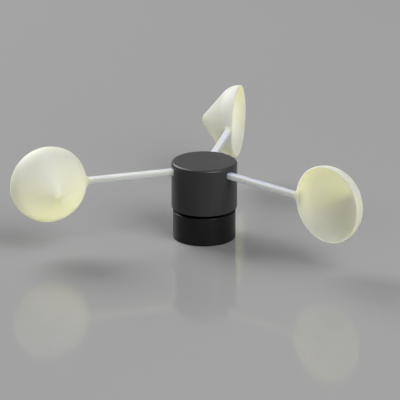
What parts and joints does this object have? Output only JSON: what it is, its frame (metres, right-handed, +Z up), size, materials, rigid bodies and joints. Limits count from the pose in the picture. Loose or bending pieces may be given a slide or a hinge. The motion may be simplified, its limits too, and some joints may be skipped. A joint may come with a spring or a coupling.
{
  "type": "cup anemometer",
  "caption": "Wind sensor: a round hub with radial arms and open cups spins on a short cylindrical base.",
  "frame": {"origin": "centre of the base's underside, on the spin axis", "axes": "+Z up along the spin axis, +Y along the first cup arm, whose cup opens towards +X"},
  "size_m": [0.2317, 0.2078, 0.0733],
  "materials": {
    "hub_plastic": "satin black moulded plastic with a fine even texture",
    "base_plastic": "deep black moulded plastic, satin",
    "cup_plastic": "translucent off-white moulded plastic, smooth",
    "cover_plastic": "black moulded plastic, matt",
    "inner_plastic": "dark grey glass-filled nylon, matt",
    "cage_nylon": "natural nylon, matt",
    "bearing_steel": "ground bearing steel",
    "spring_steel": "phosphated spring steel",
    "screw_steel": "zinc-plated steel",
    "shaft_steel": "ground stainless steel",
    "spacer_aluminium": "turned aluminium",
    "insert_brass": "turned brass",
    "magnet_nickel": "nickel-plated magnet",
    "seal_rubber": "black nitrile rubber",
    "board_laminate": "green solder mask over glass laminate",
    "chip_plastic": "black moulded package",
    "capacitor_ceramic": "tan ceramic body",
    "connector_nylon": "natural nylon",
    "lead_tin": "tinned copper"
  },
  "bodies": {
    "base": {"base_housing": "base_plastic", "base_cover": "cover_plastic", "mount_inserts": "insert_brass", "cable_grommet": "seal_rubber", "cover_seal": "seal_rubber", "cover_screws": "screw_steel", "sensor_board": "board_laminate", "board_screws": "screw_steel", "hall_sensor": "chip_plastic", "hall_leads": "lead_tin", "filter_capacitor": "capacitor_ceramic", "pull_up_resistor": "chip_plastic", "signal_connector": "connector_nylon", "connector_pins": "lead_tin", "lower_bearing_outer_ring": "bearing_steel", "upper_bearing_outer_ring": "bearing_steel", "bearing_shields": "bearing_steel", "bearing_circlip": "spring_steel", "outer_spacer": "spacer_aluminium"},
    "rotor": {"rotor_hub": "hub_plastic", "arm_clamp_plate": "inner_plastic", "clamp_screws": "screw_steel", "cup_arm_1": "cup_plastic", "cup_arm_2": "cup_plastic", "cup_arm_3": "cup_plastic", "magnet_ring": "inner_plastic", "magnets": "magnet_nickel", "rotor_shaft": "shaft_steel", "shaft_clip": "spring_steel", "lower_bearing_inner_ring": "bearing_steel", "upper_bearing_inner_ring": "bearing_steel", "inner_spacer": "spacer_aluminium"},
    "lower_cage": {"lower_bearing_balls": "bearing_steel", "lower_bearing_cage": "cage_nylon"},
    "upper_cage": {"upper_bearing_balls": "bearing_steel", "upper_bearing_cage": "cage_nylon"}
  },
  "joints": [
    {"name": "rotor_spin", "type": "hinge", "parent": "base", "child": "rotor", "pos_m": [0, 0, 0.04775], "axis": [0, 0, 1], "continuous": true},
    {"name": "lower_cage_spin", "type": "hinge", "parent": "base", "child": "lower_cage", "pos_m": [0, 0, 0.0165], "axis": [0, 0, 1], "continuous": true},
    {"name": "upper_cage_spin", "type": "hinge", "parent": "base", "child": "upper_cage", "pos_m": [0, 0, 0.0355], "axis": [0, 0, 1], "continuous": true}
  ],
  "couplings": [
    {"joint": "lower_cage_spin", "follows": "rotor_spin", "ratio": 0.3524},
    {"joint": "upper_cage_spin", "follows": "rotor_spin", "ratio": 0.3524}
  ]
}
